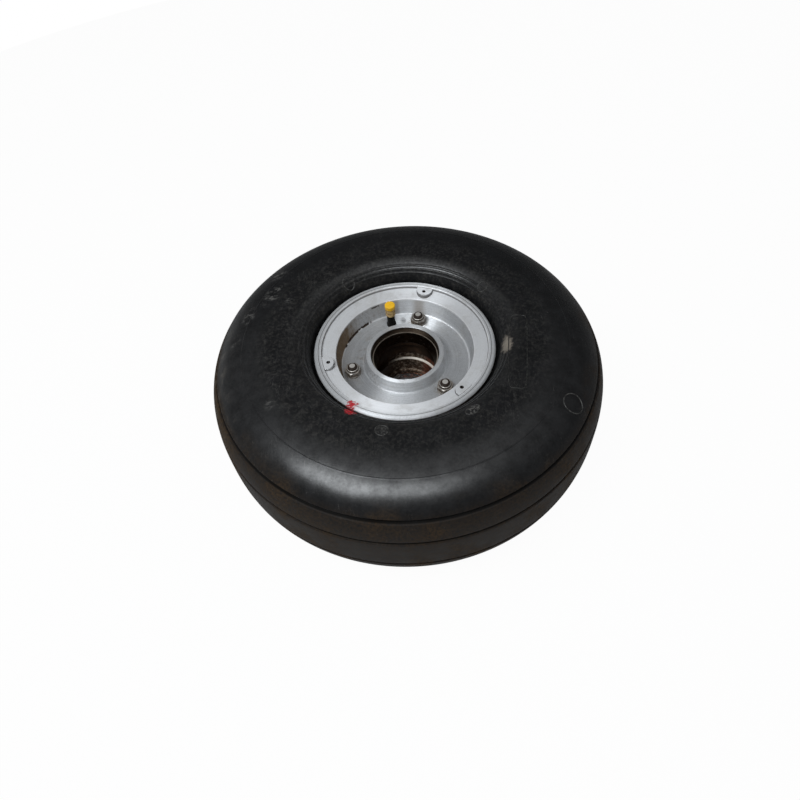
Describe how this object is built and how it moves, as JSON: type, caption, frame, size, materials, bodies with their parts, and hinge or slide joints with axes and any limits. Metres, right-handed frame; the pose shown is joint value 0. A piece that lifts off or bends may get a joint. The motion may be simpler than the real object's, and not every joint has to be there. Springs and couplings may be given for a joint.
{
  "type": "aircraft wheel",
  "caption": "Light aircraft wheel: split alloy rim with a dished web, ribbed tyre and inner tube, bearing cups in an open hub, tie bolts and a capped valve.",
  "frame": {"origin": "on the wheel's axis at the middle of the tyre's width, which is the centre of the whole wheel's box", "axes": "+Z along the wheel's axis towards the outer side with the valve and nuts, which faces up as the wheel lies flat; X and Y across the wheel"},
  "size_m": [0.351, 0.3508, 0.123],
  "materials": {
    "tyre": "matte black rubber with a dull sheen on the shoulder and brown dust on the tread",
    "tube_rubber": "smooth black butyl",
    "wheel_alloy": "turned satin metal, stained beside the nuts and hub",
    "bearing_steel": "ground steel under dark grease",
    "plated_steel": "dull plated steel with brown dirt",
    "valve_rubber": "matte black rubber",
    "brass": "dull brass",
    "spring_steel": "bright wire",
    "cap_plastic": "yellow plastic with a faded, dirty skirt"
  },
  "bodies": {
    "wheel": {"tyre": "tyre", "inner_tube": "tube_rubber", "outer_wheel_half": "wheel_alloy", "inner_wheel_half": "wheel_alloy", "outer_bearing_cup": "bearing_steel", "inner_bearing_cup": "bearing_steel", "valve_cover": "valve_rubber", "valve_stem": "brass", "valve_core": "brass", "valve_spring": "spring_steel", "tie_bolt_1": "plated_steel", "tie_nut_1": "plated_steel", "nut_washer_1": "plated_steel", "head_washer_1": "plated_steel", "tie_bolt_2": "plated_steel", "tie_nut_2": "plated_steel", "nut_washer_2": "plated_steel", "head_washer_2": "plated_steel", "tie_bolt_3": "plated_steel", "tie_nut_3": "plated_steel", "nut_washer_3": "plated_steel", "head_washer_3": "plated_steel"},
    "core_pin": {"valve_pin": "brass"},
    "cap": {"valve_cap": "cap_plastic"}
  },
  "joints": [
    {"name": "cap_off", "type": "slide", "parent": "wheel", "child": "cap", "axis": [0, 0, 1], "range_m": [0, 0.014]},
    {"name": "pin_press", "type": "slide", "parent": "wheel", "child": "core_pin", "axis": [0, 0, -1], "range_m": [0, 0.001], "stiffness_N_per_m": 500, "springref_m": -0.004, "deforming": ["valve_spring"]}
  ]
}
